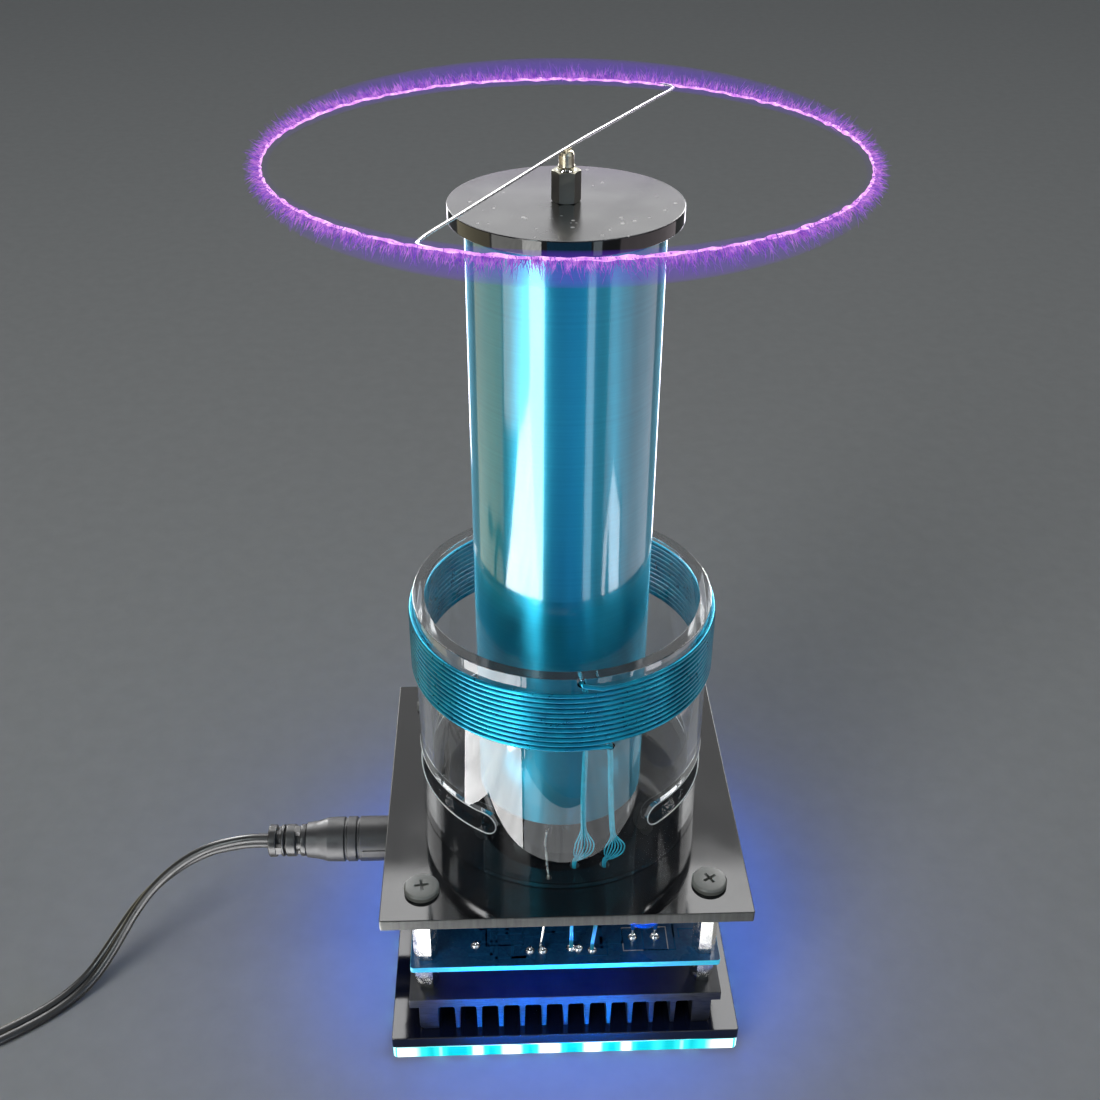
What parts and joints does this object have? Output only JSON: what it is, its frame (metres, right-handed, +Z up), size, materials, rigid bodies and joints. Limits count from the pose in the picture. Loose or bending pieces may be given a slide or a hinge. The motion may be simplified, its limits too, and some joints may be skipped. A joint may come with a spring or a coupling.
{
  "type": "desktop high-voltage coil",
  "caption": "Desktop acrylic high-voltage coil: finned driver stack on a glowing foot, clear primary tube, tall enamelled secondary, and a spinning ion rotor on a needle.",
  "frame": {"origin": "on the coil's axis, at the underside of the clear light guide plate that the object stands on", "axes": "+Z up along the coil, -Y towards the front edge with the two lead holes, -X towards the DC plug"},
  "size_m": [0.2687, 0.1167, 0.2105],
  "materials": {
    "clear_acrylic": "polished clear acrylic",
    "led_tape": "white tape with lit cyan-white LEDs",
    "black_acrylic": "mirror-gloss black acrylic",
    "black_anodised": "black anodised",
    "zinc_steel": "zinc plated",
    "black_steel": "black oxide",
    "nickel": "nickel plated brass",
    "blue_board": "blue solder mask on glass fibre",
    "blue_wire": "blue insulated stranded wire",
    "wire_enamel": "teal enamelled fine copper wire under clear lacquer",
    "tinned_wire": "tinned copper",
    "brass": "brass",
    "black_plastic": "moulded black plastic",
    "black_rubber": "soft black vinyl",
    "grey_pad": "silicone pad",
    "blue_epoxy": "dipped epoxy",
    "red_film": "moulded case",
    "black_sleeve": "shrink sleeve",
    "resistor_body": "painted ceramic"
  },
  "bodies": {
    "coil": {"base_plate": "black_acrylic", "base_screw_back_left": "zinc_steel", "base_screw_back_right": "zinc_steel", "base_screw_front_left": "zinc_steel", "base_screw_front_right": "zinc_steel", "bulk_capacitor": "black_sleeve", "circuit_board": "blue_board", "cord_coil": "black_rubber", "cord_tail": "black_rubber", "cord_tie": "black_plastic", "dc_jack": "black_plastic", "dc_plug": "black_plastic", "disc_screw": "zinc_steel", "driver_chip": "black_plastic", "film_capacitor": "red_film", "ground_lead": "tinned_wire", "heat_sink": "black_anodised", "hex_post": "nickel", "lead_connector": "black_plastic", "led_lead": "black_rubber", "led_tape_back": "led_tape", "led_tape_front": "led_tape", "led_tape_left": "led_tape", "led_tape_right": "led_tape", "light_guide_plate": "clear_acrylic", "lower_standoff_back_left": "nickel", "lower_standoff_back_right": "nickel", "lower_standoff_front_left": "nickel", "lower_standoff_front_right": "nickel", "pivot_needle": "zinc_steel", "plug_strain_relief": "black_rubber", "power_cord": "black_rubber", "power_transistor_left": "black_plastic", "power_transistor_right": "black_plastic", "primary_lead_end": "blue_wire", "primary_lead_start": "blue_wire", "primary_tube": "clear_acrylic", "primary_winding": "blue_wire", "resistor": "resistor_body", "secondary_tube": "clear_acrylic", "secondary_winding": "wire_enamel", "small_capacitor": "blue_epoxy", "thermal_pad_left": "grey_pad", "thermal_pad_right": "grey_pad", "top_disc": "black_acrylic", "top_lead": "tinned_wire", "top_plate": "black_acrylic", "top_screw_back_left": "black_steel", "top_screw_back_right": "black_steel", "top_screw_front_left": "black_steel", "top_screw_front_right": "black_steel", "transistor_screw_left": "zinc_steel", "transistor_screw_right": "zinc_steel", "upper_standoff_back_left": "nickel", "upper_standoff_back_right": "nickel", "upper_standoff_front_left": "nickel", "upper_standoff_front_right": "nickel"},
    "rotor": {"rotor_hub": "brass", "rotor_wire": "tinned_wire"}
  },
  "joints": [
    {"name": "rotor_spin", "type": "hinge", "parent": "coil", "child": "rotor", "pos_m": [0, 0, 0.20915], "axis": [0, 0, 1], "continuous": true}
  ]
}
